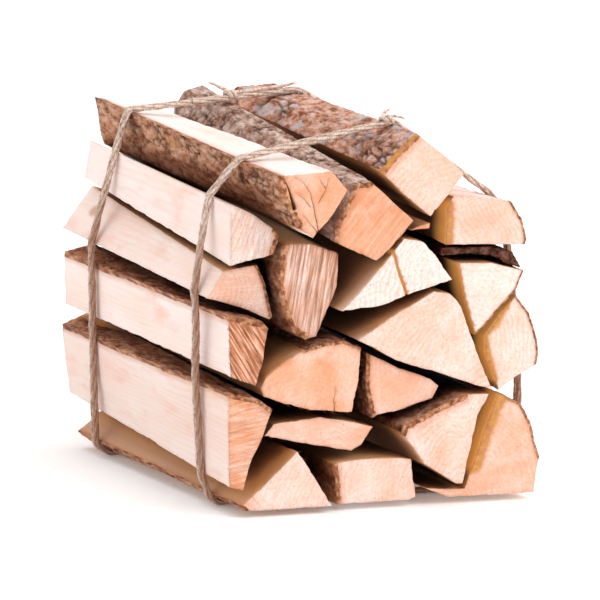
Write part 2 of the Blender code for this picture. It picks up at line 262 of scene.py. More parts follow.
def make_sawn_ends():
    """Sawn end grain: rings, fine rays from the pith, pores, and the streaks that the saw tore across."""
    material, tree, shader = new_material("sawn_birch_end", 0.85, 0.15)
    colour, _, offset = wood_colours(tree, CREAM, PEACH, "end_warmth", 0.4)
    parts = add_node(tree, "SeparateXYZ", {0: offset}).node.outputs
    turn = add_node(tree, "Math", {0: parts["X"], 1: parts["Z"]}, operation="ARCTAN2")
    distance = add_node(tree, "VectorMath", {0: offset}, take="Value", operation="LENGTH")
    round_pith = add_node(tree, "CombineXYZ", {"X": turn, "Y": distance})
    rayed = lay_over(tree, colour, LATEWOOD, patches(tree, RAY_SIZE, place=round_pith), 0.67, 0.76, 0.35)
    warmth = add_node(tree, "Attribute", take="Fac", attribute_name="end_warmth")
    ripeness = add_node(tree, "Math", {0: warmth, 1: 0.35}, operation="SUBTRACT", use_clamp=True)
    blushed = lay_over(tree, rayed, BLUSH, patches(tree, (13, 60, 13), 4.0), 0.5, 0.68, ripeness)

    place = place_in_mm(tree)
    to_saw = [
        add_node(
            tree, "VectorMath",
            {0: place, 1: add_node(tree, "Attribute", take="Vector", attribute_name=name)},
            take="Value", operation="DOT_PRODUCT",
        )
        for name in ("saw_along", "saw_across")
    ]
    saw_place = add_node(tree, "CombineXYZ", dict(enumerate(to_saw)))
    saw_strength = add_node(tree, "Attribute", take="Fac", attribute_name="saw_strength")
    torn = patches(tree, (20.0, 1.25, 1.0), 5.0, 0.62, saw_place)
    streaked = lay_over(tree, blushed, TORN, torn, 0.38, 0.6, saw_strength)
    # Painted highlight: pale streaks between the torn ones, as if the saw's ridges caught the light.
    faint = add_node(tree, "Math", {0: saw_strength, 1: 0.35}, operation="MULTIPLY")
    highlighted = lay_over(tree, streaked, SAW_HIGHLIGHT, torn, 0.46, 0.34, faint)
    pulp = patches(tree, (2.4, 8.0, 2.4), 5.0, 0.65)
    pulpy = lay_over(tree, highlighted, BLUSH, pulp, 0.46, 0.7, 0.35)
    pores = patches(tree, (1.1, 4.0, 1.1), 3.0, 0.6)
    pored = lay_over(tree, pulpy, STAIN, pores, 0.58, 0.7, 0.5)
    banded = with_painted_amber_light(tree, with_bark_band(tree, pored))
    fuzz = add_node(tree, "Math", {0: pulp, 1: pores}, operation="SUBTRACT")
    relief = add_node(tree, "Math", {0: torn, 1: 1.5, 2: fuzz}, operation="MULTIPLY_ADD")
    put_on(tree, shader, painted_shelter_shade(tree, banded, AMBER_SHADE, 0.85), relief, 0.6, 0.45)
    painted_amber_glow(tree, shader)
    return material


def make_bark(name, dark, middle, light, scale_colour, scale_share):
    """Dry rough bark: mottled flakes, paler scales, and painted shade that is nearly black in the cracks.
    """
    material, tree, shader = new_material(name, 0.92, 0.1)
    mottled = patches(tree, (5.5, 15.0, 5.5), 6.0, 0.66)
    base = add_node(
        tree, "ValToRGB", {"Fac": mottled}, stops=[(0.38, dark), (0.5, middle), (0.61, light)]
    )
    scaly = patches(tree, (12.0, 26.0, 12.0), 5.0, 0.6)
    coated = lay_over(tree, base, scale_colour, scaly, 0.64 - scale_share, 0.7 - scale_share, 0.85)
    grit = patches(tree, (1.1, 1.6, 1.1), 4.0, 0.7)
    gritty = lay_over(tree, coated, dark, grit, 0.54, 0.72, 0.75)
    pale_grit = lay_over(tree, gritty, light, grit, 0.42, 0.3, 0.35)
    # Painted shade: nearly black in the cracks.
    fissure = add_node(tree, "Attribute", take="Fac", attribute_name="fissure")
    cracked = lay_over(tree, pale_grit, BARK_SHADE, fissure)
    rough = add_node(tree, "Math", {0: mottled, 1: 2.0, 2: grit}, operation="MULTIPLY_ADD")
    put_on(tree, shader, painted_shelter_shade(tree, cracked, dark, 0.45), rough, 0.9, 1.0)
    return material


RIVEN = make_riven_wood()
SAWN = make_sawn_ends()
BARKS = {
    "brown": make_bark("brown_birch_bark", "#7E4B34", "#C18B6D", "#DFB39A", "#D19870", 0.09),
    # The darkest bark, nearly black, is used only on the bark slab.
    "dark": make_bark("darkest_birch_bark", "#3A2018", "#6A4436", "#92695A", "#7C5444", 0.05),
    "grey": make_bark("grey_birch_bark", "#8E6554", "#C8A391", "#E8D0C4", "#D6BEB2", 0.08),
    "orange": make_bark("orange_birch_bark", "#8F573C", "#D49B82", "#EBC5B3", "#CFC3C3", 0.1),
}

# Each kind of bark: the size of its plates across and along the log, and the depth of its cracks, in mm.
BARK_FORMS = {
    "brown": (5.5, 11.0, 1.1),
    "dark": (6.0, 20.0, 0.8),
    "grey": (4.5, 7.0, 0.8),
    "orange": (9.0, 24.0, 1.9),
}
# Without a seed the noise that bends the bark's cracks would differ from run to run.
noise.seed_set(1)
# How high the split faces' ridges stand, and how much their edges are chipped.
RIVEN_RELIEF = 0.5
ARRIS_WEAR = 1.1
ARRIS_ANGLE = math.radians(38)
SHARP_ANGLE = math.radians(40)
END_FACING = 0.8
# The size of a mesh cell, across and along the grain, and how many cells long an edge may be.
WOOD_CELL = (3.0, 6.5)
BARK_CELL = (1.7, 2.4)
LONGEST_EDGE = 1.35
# Shelter is found on a coarser mesh, by rays of this reach that start a little off the surface.
COARSE = 2.0
REACH = 45.0
LIFT = 0.4
SAME_SIDE = 0.75
FAR_AWAY = 9999.0
# How far from the near end the painted amber light reaches along the split, in mm.
AMBER_DEPTH = 30.0
# A check reaches this far into the end, and more where it is wide. Its cutter starts ahead of the end.
CHECK_DEPTH = 2.0
CHECK_DEPTH_PER_WIDTH = 5.0
CUTTER_AHEAD = 4.0
# How many of the near end's edges carry a splinter, and how far back they are looked for.
SPLINTER_SHARE = 0.35
SPLINTER_ZONE = 12.0
# What a face shows, as the number of its material.
END, WOOD, BARK = range(3)


@dataclass
class Look:
    """What one split shows: its bark, where the pith of its log lay, its colour, and the saw's marks.

    Bark covers the sides that face between two directions, in degrees from +X towards +Z as seen from
    the front. Places are (x, z), in millimetres. A check is a drying crack in the near end: the width of
    its mouth, then its places from the mouth to the tip. A knot is a whole (x, y, z) place. Amber is a
    line along the near end, with how far from it the wood is painted with amber light, as if lit through
    a thin edge. Saw fineness is how close the saw's streaks lie and fray is how long the splinters are,
    both against the usual ones. Side shade is how far the split sides are painted a shaded brown.
    """
    node: str
    pith: tuple
    end_warmth: float
    side_warmth: float
    saw_angle: float = 70.0
    saw_strength: float = 0.15
    bark: tuple = None
    bark_kind: str = "brown"
    bark_thickness: float = 2.0
    checks: tuple = ()
    knot: tuple = (FAR_AWAY, FAR_AWAY, FAR_AWAY)
    # A line where light through a thin edge is painted as amber, and the reach of that painted light.
    painted_amber_light: tuple = ()
    amber_reach: float = 8.0
    saw_fineness: float = 1.0
    fray: float = 1.0
    # Painted shade: how far the split sides are painted a shaded brown.
    side_shade: float = 0.0
    end_is_bark: bool = False


def stack_tree():
    """All the splits as one shape that rays can hit."""
    points = []
    faces = []
    for name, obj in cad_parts.items():
        if name.endswith("twine"):
            continue
        first = len(points)
        points += [vertex.co.copy() for vertex in obj.data.vertices]
        faces += [[first + index for index in face.vertices] for face in obj.data.polygons]
    return BVHTree.FromPolygons(points, faces)


STACK = stack_tree()


def spread_directions(count):
    """Directions spread over the hemisphere round +Z, closer together near its pole."""
    golden = math.pi * (3 - math.sqrt(5))
    directions = []
    for index in range(count):
        lean = math.sqrt((index + 0.5) / count)
        turn = golden * index
        directions.append(
            Vector((lean * math.cos(turn), lean * math.sin(turn), math.sqrt(1 - lean * lean)))
        )
    return directions


OUTWARD = spread_directions(20)


def shelter_at(place, normal):
    """The share of the sky over this place that the rest of the stack hides."""
    turn = normal.to_track_quat("Z", "Y")
    start = place + normal * LIFT * MM
    hidden = sum(
        1 for direction in OUTWARD if STACK.ray_cast(start, turn @ direction, REACH * MM)[0] is not None
    )
    return hidden / len(OUTWARD)


def is_end(normal):
    return abs(normal.y) > END_FACING


def is_bark(look, normal):
    if look.bark is None or is_end(normal):
        return False
    start, end = look.bark
    angle = math.degrees(math.atan2(normal.z, normal.x))
    return (angle - start) % 360 <= (end - start) % 360


def along_line(points, share):
    """The place at this share of the way along a line of (x, z) points, and the direction across it."""
    spot = share * (len(points) - 1)
    index = min(int(spot), len(points) - 2)
    start, end = (Vector((x, 0.0, z)) for x, z in points[index:index + 2])
    run = (end - start).normalized()
    return start.lerp(end, spot - index), Vector((-run.z, 0.0, run.x))


def distance_to_line(flat, points):
    """How far this (x, z) place lies from a line of (x, z) points, in millimetres."""
    nearest = FAR_AWAY
    for start, end in zip(points, points[1:]):
        from_start = flat - Vector(start)
        run = Vector(end) - Vector(start)
        share = min(1.0, max(0.0, from_start.dot(run) / run.length_squared))
        nearest = min(nearest, (from_start - run * share).length)
    return nearest


def what_shows(look, normal):
    if is_end(normal):
        return BARK if look.end_is_bark else END
    return BARK if is_bark(look, normal) else WOOD


def record_shelter(bm):
    """Give every corner of every face its shelter, apart for the sides that meet there, and even it out."""
    layer = bm.loops.layers.float.new("shelter")
    groups = []
    for vertex in bm.verts:
        sides = []
        for loop in vertex.link_loops:
            for side in sides:
                if side[0].face.normal.dot(loop.face.normal) > SAME_SIDE:
                    side.append(loop)
                    break
            else:
                sides.append([loop])
        groups += sides
    for group in groups:
        normal = sum((loop.face.normal for loop in group), Vector()).normalized()
        value = shelter_at(group[0].vert.co, normal)
        for loop in group:
            loop[layer] = value
    for _ in range(3):
        evened = []
        for group in groups:
            around = [corner[layer] for loop in group for corner in loop.face.loops]
            evened.append(sum(around) / len(around))
        for group, value in zip(groups, evened):
            for loop in group:
                loop[layer] = value


def open_checks(obj, look):
    """Cut each drying crack into the near end as a narrow wedge, widest at its mouth."""
    near_y = min(vertex.co.y for vertex in obj.data.vertices)
    for index, (width, *points) in enumerate(look.checks):
        rng = random.Random(f"{look.node} {index}")
        steps = 4 * (len(points) - 1)
        left = []
        right = []
        for step in range(steps):
            middle, side = along_line(points, step / steps)
            middle = middle + side * rng.uniform(-0.25, 0.25)
            half = side * width * 0.5 * (1.0 - step / steps)
            left.append(middle + half)
            right.append(middle - half)
        outline = left + [Vector((points[-1][0], 0.0, points[-1][1]))] + right[::-1]
        bm = bmesh.new()
        corners = [bm.verts.new(Vector((p.x * MM, near_y - CUTTER_AHEAD * MM, p.z * MM))) for p in outline]
        face = bm.faces.new(corners)
        grown = bmesh.ops.extrude_face_region(bm, geom=[face])["geom"]
        grown_verts = [item for item in grown if isinstance(item, bmesh.types.BMVert)]
        length = CUTTER_AHEAD + CHECK_DEPTH + CHECK_DEPTH_PER_WIDTH * width
        bmesh.ops.translate(bm, verts=grown_verts, vec=(0.0, length * MM, 0.0))
        bmesh.ops.recalc_face_normals(bm, faces=bm.faces[:])
        mesh = bpy.data.meshes.new("check_cutter")
        bm.to_mesh(mesh)
        bm.free()
        cutter = bpy.data.objects.new("check_cutter", mesh)
        bpy.context.scene.collection.objects.link(cutter)
        modifier = obj.modifiers.new("check", "BOOLEAN")
        modifier.operation = "DIFFERENCE"
        modifier.solver = "EXACT"
        modifier.object = cutter
        evaluated = obj.evaluated_get(bpy.context.evaluated_depsgraph_get())
        cut = bpy.data.meshes.new_from_object(evaluated)
        obj.modifiers.clear()
        obj.data = cut
        bpy.data.objects.remove(cutter, do_unlink=True)


def refine(bm, coarseness):
    """Divide the faces until no edge is longer than a cell, with smaller cells on bark."""
    for _ in range(10):
        long_edges = []
        for edge in bm.edges:
            fine = any(face.material_index == BARK for face in edge.link_faces)
            across, along = BARK_CELL if fine else WOOD_CELL
            step = (edge.verts[1].co - edge.verts[0].co) / (MM * coarseness)
            if math.hypot(step.x / across, step.y / along, step.z / across) > LONGEST_EDGE:
                long_edges.append(edge)
        if not long_edges:
            break
        bmesh.ops.subdivide_edges(bm, edges=long_edges, cuts=1)
        wide = [face for face in bm.faces if len(face.verts) > 3]
        bmesh.ops.triangulate(bm, faces=wide, quad_method="BEAUTY", ngon_method="BEAUTY")
    bm.normal_update()


def smooth_step(low, high, value):
    share = min(1.0, max(0.0, (value - low) / (high - low)))
    return share * share * (3 - 2 * share)


def bark_height(kind, place, seed):
    """Height of the bark here in millimetres, and how deep in a crack it is."""
    across, along, depth = BARK_FORMS[kind]
    warp = noise.noise_vector(Vector((place.x / 14, place.y / 26, place.z / 14 + seed))) * 1.1
    cell = Vector((place.x / across, place.y / along, place.z / across + seed)) + warp
    distances, _ = noise.voronoi(cell)
    crack = 1.0 - smooth_step(0.02, 0.26, distances[1] - distances[0])
    open_here = smooth_step(-0.25, 0.35, noise.noise(cell * 0.45))
    crack *= open_here
    swell = noise.noise(Vector((place.x / 13, place.y / 24, place.z / 13 + seed)))
    flakes = noise.fractal(Vector((place.x / 4.2, place.y / 6.5, place.z / 4.2 + seed)), 0.7, 2.0, 4)
    height = depth * (0.35 * swell - 0.75 * crack) + 0.55 * flakes + 0.35
    return height, min(1.0, crack * 0.8 + max(0.0, -flakes - 0.3))


def riven_height(place, seed):
    """Height of the split face here in millimetres: shallow ridges that run along the grain."""
    broad = noise.noise(Vector((place.x / 10, place.y / 130, place.z / 10 + seed)))
    fine = noise.noise(Vector((place.x / 3.4, place.y / 80, place.z / 3.4 + seed)))
    return RIVEN_RELIEF * (broad * 0.8 + fine * 0.6 - 0.7)


def shape_surface(bm, look, seed):
    """Give bark and split faces their relief, and wear the edges between them."""
    fissure = bm.verts.layers.float.new("fissure")
    moves = []
    for vertex in bm.verts:
        place = vertex.co / MM
        on_end = any(is_end(face.normal) for face in vertex.link_faces)
        sides = {face.material_index for face in vertex.link_faces if not is_end(face.normal)}
        on_bark = BARK in sides
        on_wood = WOOD in sides
        if not (on_bark or on_wood):
            continue
        height = 0.0
        if on_bark:
            height, vertex[fissure] = bark_height(look.bark_kind, place, seed)
        elif on_wood:
            height = riven_height(place, seed)
        if on_bark and on_wood:
            height *= 0.6
        at_arris = any(edge.calc_face_angle(0.0) > ARRIS_ANGLE for edge in vertex.link_edges)
        if at_arris:
            chip = noise.noise(Vector((place.x / 2.2, place.y / 9, place.z / 2.2 + seed)))
            height = min(height, 0.1) - ARRIS_WEAR * max(0.0, chip)
        normal = vertex.normal.copy()
        if on_end:
            normal.y = 0.0
        moves.append((vertex, normal * height * MM))
    for vertex, move in moves:
        vertex.co += move


def add_splinters(bm, look):
    """Fibres that the saw and the axe left standing along the edges of the near end."""
    rng = random.Random(look.node)
    near_y = min(vertex.co.y for vertex in bm.verts)
    rims = []
    for edge in bm.edges:
        sides = [face.normal.copy() for face in edge.link_faces if not is_end(face.normal)]
        if len(sides) == 1 and edge.verts[0].co.y < near_y + SPLINTER_ZONE * MM:
            rims.append((edge.verts[0].co.copy(), edge.verts[1].co.copy(), sides[0]))
    for start, end, outward in rims:
        if rng.random() > SPLINTER_SHARE:
            continue
        root = start.lerp(end, rng.random())
        along = (end - start).normalized()
        width = along * rng.uniform(0.2, 0.45) * MM
        lift = outward * rng.uniform(0.3, 1.0) * look.fray * MM
        reach = Vector((0.0, -rng.uniform(0.2, 1.6) * MM, 0.0)) + along * rng.uniform(-0.8, 0.8) * MM
        reach *= look.fray
        back = Vector((0.0, 3.0 * MM, 0.0)) - outward * 0.4 * MM
        tip = bm.verts.new(root + reach + lift)
        base = [bm.verts.new(root + back + offset) for offset in (width, -width, outward * 0.35 * MM)]
        faces = [bm.faces.new((base[0], base[1], base[2]))]
        faces += [bm.faces.new((base[(i + 1) % 3], base[i], tip)) for i in range(3)]
        bmesh.ops.recalc_face_normals(bm, faces=faces)
        for face in faces:
            face.material_index = WOOD


def paint(mesh, name, kind, value):
    """Give every point of the mesh the same value under this name."""
    layer = mesh.attributes.new(name, kind, "POINT")
    count = len(mesh.vertices)
    if kind == "FLOAT":
        layer.data.foreach_set("value", (value,) * count)
    else:
        layer.data.foreach_set("vector", tuple(value) * count)


def dress_split(look):
    """Stand in for one of the frame's splits with its finished surface."""
    name = look.node + "_finished"
    seed = sum(ord(letter) for letter in look.node) * 0.37
    mesh = bpy.data.meshes.new(name)
    bm = bmesh.new()
    bm.from_mesh(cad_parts[look.node].data)
    bmesh.ops.remove_doubles(bm, verts=bm.verts[:], dist=0.01 * MM)
    bm.normal_update()
    for face in bm.faces:
        face.material_index = what_shows(look, face.normal)
    bm.to_mesh(mesh)
    bm.free()
    materials = (SAWN, RIVEN, BARKS[look.bark_kind])
    for material in materials:
        mesh.materials.append(material)
    obj = bpy.data.objects.new(name, mesh)
    bpy.context.scene.collection.objects.link(obj)
    open_checks(obj, look)

    bm = bmesh.new()
    bm.from_mesh(obj.data)
    bmesh.ops.triangulate(bm, faces=[face for face in bm.faces if len(face.verts) > 3])
    bm.normal_update()
    refine(bm, COARSE)
    record_shelter(bm)
    refine(bm, 1.0)

    bark_faces = [face for face in bm.faces if face.material_index == BARK]
    bark_depth = bm.verts.layers.float.new("bark_depth")
    bark_tree = None
    if bark_faces:
        bark_tree = BVHTree.FromPolygons(
            [corner.co.copy() for face in bark_faces for corner in face.verts],
            [(index * 3, index * 3 + 1, index * 3 + 2) for index in range(len(bark_faces))],
        )
    for vertex in bm.verts:
        vertex[bark_depth] = FAR_AWAY
        if bark_tree:
            vertex[bark_depth] = bark_tree.find_nearest(vertex.co)[3] / MM / look.bark_thickness
    # Painted light: amber, strongest along the amber line, fading away from it and along the split.
    painted_amber_light = bm.verts.layers.float.new("painted_amber_light")
    near_y = min(vertex.co.y for vertex in bm.verts)
    for vertex in bm.verts:
        nearest = distance_to_line(Vector((vertex.co.x, vertex.co.z)) / MM, look.painted_amber_light)
        fading = smooth_step(0.3 * AMBER_DEPTH, AMBER_DEPTH, (vertex.co.y - near_y) / MM)
        vertex[painted_amber_light] = (1.0 - smooth_step(0.3, 1.3, nearest / look.amber_reach)) * (1.0 - fading)
    shape_surface(bm, look, seed)
    add_splinters(bm, look)

    mesh = bpy.data.meshes.new(name)
    bm.to_mesh(mesh)
    bm.free()
    obj.data = mesh
    mesh.shade_smooth()
    mesh.set_sharp_from_angle(angle=SHARP_ANGLE)
    for material in materials:
        mesh.materials.append(material)
    paint(mesh, "end_warmth", "FLOAT", look.end_warmth)
    paint(mesh, "side_warmth", "FLOAT", look.side_warmth)
    paint(mesh, "side_shade", "FLOAT", look.side_shade)
    paint(mesh, "saw_strength", "FLOAT", look.saw_strength)
    angle = math.radians(look.saw_angle)
    saw = Vector((math.cos(angle), 0.0, math.sin(angle))) * look.saw_fineness
    paint(mesh, "saw_along", "FLOAT_VECTOR", saw)
    paint(mesh, "saw_across", "FLOAT_VECTOR", (saw.z, 0.0, -saw.x))
    paint(mesh, "pith", "FLOAT_VECTOR", (look.pith[0], 0.0, look.pith[1]))
    paint(mesh, "knot", "FLOAT_VECTOR", look.knot)
    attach(obj, "root")
    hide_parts(look.node)
    return obj


LEFT_COLUMN = [
    dress_split(Look(
        "left_split_1", (-118, 185), 0.15, 0.2, 68, 0.3, (-50, 45), "brown", 3.4, saw_fineness=0.7,
    )),
    dress_split(Look(
        "left_split_2", (-125, 150), 0.5, 0.45, 0, 0.12, (-30, 50), knot=(-95.0, 139.5, 161.5),
    )),
    dress_split(Look(
        "left_split_3", (-95, 60), 1.5, 0.2, -58, 1.0, (30, 110), "brown", 3.5, saw_fineness=0.8,
    )),
    dress_split(Look(
        "left_split_4", (-98, -15), 0.9, 0.3, 10, 0.42, (40, 110), "brown", 3.0, saw_fineness=0.8,
        side_shade=0.1,
    )),
]

# The top row.
# Two bark-backed billets lean either side of a third one, with a thin wedge of kindling pushed in between.
# The left one's bark has come loose at the near end, and fine drying cracks run up from its lowest corner.
TOP_ROW = [
    dress_split(Look(
        "top_left_split", (-51, 186), 0.9, 0.1, 65, 0.12, (150, 225), "brown", 4.6,
        checks=(
            (3.0, (-65.3, 205.0), (-68.6, 216.5), (-73.9, 228.6)),
            (0.7, (-48.6, 188.2), (-51.7, 203.5), (-54.5, 215.8), (-60.2, 223.5), (-66.6, 227.0)),
            (0.6, (-49.2, 208.7), (-43.9, 217.2), (-41.8, 226.5)),
            (0.45, (-43.9, 218.2), (-50.3, 227.0)),
            (0.6, (-49.4, 189.0), (-60.2, 201.6)),
            (0.5, (-54.5, 206.3), (-58.8, 211.9), (-67.3, 217.8)),
        ),
    )),
    dress_split(Look(
        "top_middle_split", (29, 176), 1.0, 0.6, 50, 0.25, (70, 200), "grey", 3.5, saw_fineness=0.5,
    )),
    dress_split(Look(
        "top_right_split", (50, 196), 0.45, 0.5, 40, 0.06, (75, 185), "orange", 4.5,
        painted_amber_light=((26, 251.5), (12, 238.5), (0.5, 226.5)), amber_reach=3.6,
    )),
    dress_split(Look("wedge_sliver", (60, 150), 0.9, 0.9)),
]

# The right side.
# Smaller billets with thin bark on their outer side, and a curved slab of bark between the upper two.
RIGHT_SIDE = [
    dress_split(Look(
        "right_split_1", (30, 165), 0.45, 0.7, 30, 0.06, (-45, 60), "grey", 1.6,
        painted_amber_light=((47, 172), (48, 198)), amber_reach=7.0,
    )),
    dress_split(Look("bark_slab", (60, 60), 0.6, 0.6, 0, 0.2, (0, 359.9), "dark", 6.0, end_is_bark=True)),
    dress_split(Look(
        "right_split_2", (60, 100), 0.2, 0.5, 20, 0.06, (-60, 10), "grey", 1.2,
        painted_amber_light=((54, 160), (58, 138), (65, 112)), amber_reach=4.0,
    )),
    dress_split(Look(
        "right_split_3", (62, 102), 0.3, 0.5, 75, 0.06, (-40, 60), "brown", 1.6,
        painted_amber_light=((93, 139), (82, 121), (73, 112), (76, 96), (80, 82)), amber_reach=5.0,
    )),
]

# The middle.
# The pieces that the outer ones hold: a nearly white one, a streaky upright one and the largest wedge.
MIDDLE = [
    dress_split(Look(
        "upper_centre_split", (70, 140), -0.3, 0.4, 15, 0.1,
        checks=((1.2, (19.0, 139.5), (12.6, 157.9), (8.4, 172.5)),),
        painted_amber_light=((19.0, 139.5), (12.6, 157.9), (8.4, 172.5)), amber_reach=1.1,
    )),
    dress_split(Look(
        "upright_split", (8, 150), 0.55, 0.5, 80, 0.85, (145, 250), "brown", 4.0, saw_fineness=0.5,
    )),
    dress_split(Look(
        "centre_split", (78, 70), 0.4, 0.6, 88, 0.06,
        painted_amber_light=((-8, 122.5), (9, 135), (37, 148)), amber_reach=2.2,
    )),
    dress_split(Look(
        "lower_left_split", (-46, 50), 0.9, 0.9, 70, 0.12, (50, 112), "brown", 2.0, fray=2.4, side_shade=0.3,
        checks=((0.8, (-30.2, 64.0), (-31.0, 74.5), (-29.5, 85.0)),),
        painted_amber_light=((-90, 86), (-86, 97), (-71, 110), (-58, 113.5)), amber_reach=4.0,
    )),
    dress_split(Look("lower_middle_split", (54, 78), 0.7, 0.7, 60, 0.1, (150, 215), "brown", 3.0)),
    dress_split(Look("flat_split", (-40, -20), 0.6, 0.6, 20, 0.1)),
]

# The bottom row.
# Four billets that carry the rest, a wedge on the left and the widest one on the right.
BOTTOM_ROW = [
    dress_split(Look(
        "bottom_split_1", (-57, 52), 0.4, 0.6, 60, 0.2, (190, 250), "brown", 2.0, fray=2.4, side_shade=0.8,
    )),
    dress_split(Look("bottom_split_2", (48, 15), 0.35, 0.5, 35, 0.12, (150, 215), "brown", 3.0)),
    dress_split(Look("bottom_split_3", (66, 5), 0.4, 0.5, 60, 0.08, (100, 175), "brown", 4.0)),
    dress_split(Look(
        "bottom_split_4", (48, -5), 0.65, 0.9, 70, 0.06, (0, 75), "brown", 1.8,
        painted_amber_light=((88, 76), (79, 62), (73, 46), (67, 27)), amber_reach=8.5,
    )),
]

# The jute twines.
# Three-ply jute, wound twice round the bundle near each end, drawn tight and knotted on top.
# Dry and hairy: loose fibres stand out from it all along, and its cut ends have come apart.
STRAND_RADIUS = 2.0
STRAND_SPACING = 4.6
PLIES = 3
PLY_RADIUS = 1.15
PLY_OFFSET = 0.8
TWIST_PITCH = 42.0
POINT_STEP = 1.1
FRONT_TWINE_Y = -106.4
REAR_TWINE_Y = 103.6
# Anything higher than this lies on the stack.
TOP_HEIGHT = 190.0
# The front turns have slipped forward on the left side, and stand a little apart on top.
SLIP = 10.0
SLIP_HEIGHT = 135.0
SLIP_REACH = 38.0
SPREAD = 2.2
SPREAD_X = -22.0
SPREAD_REACH = 14.0
WAVER = 1.6
FIBRES_PER_TWINE = 1700
FIBRE_RADIUS = 0.09
FRAYED_PER_END = 26
FRAYED_RADIUS = 0.16
JUTE_LIGHT = "#F3E4DC"
JUTE = "#DCC0AE"
JUTE_DARK = "#9C7259"
JUTE_SHADE = "#9A6A4C"
# Painted shade in the grooves between the plies.
JUTE_CREASE_SHADE = "#6E452E"


def make_jute():
    """Jute: dull and dry, tan with paler hairs; painted shade darkens the ply twists and lower parts."""
    material, tree, shader = new_material("jute_twine", 0.95, 0.1)
    mottled = patches(tree, (2.5, 2.5, 2.5), 4.0, 0.7)
    hairs = patches(tree, (0.7, 0.7, 3.0), 3.0, 0.7)
    half = add_node(tree, "Math", {0: mottled, 1: 0.5}, operation="MULTIPLY")
    mixed = add_node(tree, "Math", {0: hairs, 1: 0.5, 2: half}, operation="MULTIPLY_ADD")
    base = add_node(
        tree, "ValToRGB", {"Fac": mixed}, stops=[(0.38, JUTE_DARK), (0.48, JUTE), (0.6, JUTE_LIGHT)]
    )
    # Painted shade: darker on the lower parts of the turns, and darker still in the creases between the
    # plies.
    low_shade = add_node(tree, "Attribute", take="Fac", attribute_name="low_shade")
    crease_shade = add_node(tree, "Attribute", take="Fac", attribute_name="crease_shade")
    shaded = lay_over(tree, base, JUTE_SHADE, low_shade, most=0.75)
    put_on(tree, shader, lay_over(tree, shaded, JUTE_CREASE_SHADE, crease_shade), hairs, 0.7, 0.3)
    return material


JUTE_MATERIAL = make_jute()
ALL_SPLITS = LEFT_COLUMN + TOP_ROW + RIGHT_SIDE + MIDDLE + BOTTOM_ROW


def hull_round(points):
    """The convex outline round (x, z) points, anticlockwise as seen from the front."""
    ordered = sorted(set(points))
    outline = []
    for run in (ordered, ordered[::-1]):
        chain = []
        for point in run:
            while len(chain) > 1:
                (ax, az), (bx, bz) = chain[-2:]
                if (bx - ax) * (point[1] - az) - (bz - az) * (point[0] - ax) > 0:
                    break
                chain.pop()
            chain.append(point)
        outline += chain[:-1]
    return outline


def strand_route(y, strand_y, side):
    """The middle line of one turn of twine, in even steps, in millimetres."""
    section = []
    for split in ALL_SPLITS:
        for vertex in split.data.vertices:
            if abs(vertex.co.y / MM - y) < STRAND_SPACING:
                section.append((round(vertex.co.x / MM, 2), round(vertex.co.z / MM, 2)))
    section = [(x, max(z, 2 * STRAND_RADIUS + 0.3)) for x, z in section]
    hull = hull_round(section)
    corners = []
    for index, (x, z) in enumerate(hull):
        before = Vector(hull[index - 1])
        here = Vector((x, z))
        after = Vector(hull[(index + 1) % len(hull)])
        outward = ((here - before).normalized() - (after - here).normalized())
        flat = (after - before).normalized()
        normal = Vector((flat.y, -flat.x)) if outward.length < 1e-6 else outward.normalized()
        corners.append(here + normal * (STRAND_RADIUS + 0.1))
    lengths = [(corners[(i + 1) % len(corners)] - corners[i]).length for i in range(len(corners))]
    total = sum(lengths)
    count = round(total / POINT_STEP)
    route = []
    index = 0
    passed = 0.0
    for number in range(count):
        target = total * number / count
        while passed + lengths[index] < target:
            passed += lengths[index]
            index += 1
        share = (target - passed) / lengths[index]
        flat = corners[index].lerp(corners[(index + 1) % len(corners)], share)
        route.append(Vector((flat.x, strand_y, flat.y)))
    for _ in range(3):
        route = [
            (route[i - 1] + route[i] * 2 + route[(i + 1) % count]) / 4 for i in range(count)
        ]
    for number, point in enumerate(route):
        if y < 0 and point.x < 0:
            point.y -= SLIP * math.exp(-(((point.z - SLIP_HEIGHT) / SLIP_REACH) ** 2))
        if point.z > TOP_HEIGHT and y < 0:
            point.y += side * SPREAD * math.exp(-(((point.x - SPREAD_X) / SPREAD_REACH) ** 2))
        point.y += WAVER * noise.noise(Vector((number * 0.025, side * 3.0, y)))
    return route


def twist_plies(route, turns_start):
    """The middle lines of the plies that wind round a strand's own."""
    count = len(route)
    turns = round(count * POINT_STEP / TWIST_PITCH)
    plies = []
    for ply in range(PLIES):
        line = []
        for number, point in enumerate(route):
            run = (route[(number + 1) % count] - route[number - 1]).normalized()
            side = run.cross(Vector((0.0, 1.0, 0.0))).normalized()
            other = run.cross(side)
            angle = 2 * math.pi * (turns * number / count + ply / PLIES) + turns_start
            offset = PLY_OFFSET * (1 + 0.5 * noise.noise(point * 0.07 + Vector((ply * 7.0, 0, 0))))
            line.append(point + (side * math.cos(angle) + other * math.sin(angle)) * offset)
        plies.append(line)
    return plies


def cords_as_mesh(name, lines, radius, cyclic, ends=None):
    """Round cords along these lines, as one mesh. Ends gives the share of the radius at each end."""
    curve = bpy.data.curves.new(name, "CURVE")
    curve.dimensions = "3D"
    curve.bevel_depth = radius * MM
    curve.bevel_resolution = 1
    curve.use_fill_caps = not cyclic
    for line in lines:
        spline = curve.splines.new("POLY")
        spline.points.add(len(line) - 1)
        for number, (spline_point, point) in enumerate(zip(spline.points, line)):
            spline_point.co = (*(point * MM), 1.0)
            if ends:
                spline_point.radius = ends[0] + (ends[1] - ends[0]) * number / (len(line) - 1)
        spline.use_cyclic_u = cyclic
    holder = bpy.data.objects.new(name, curve)
    bpy.context.scene.collection.objects.link(holder)
    evaluated = holder.evaluated_get(bpy.context.evaluated_depsgraph_get())
    mesh = bpy.data.meshes.new_from_object(evaluated)
    bpy.data.objects.remove(holder, do_unlink=True)
    return mesh


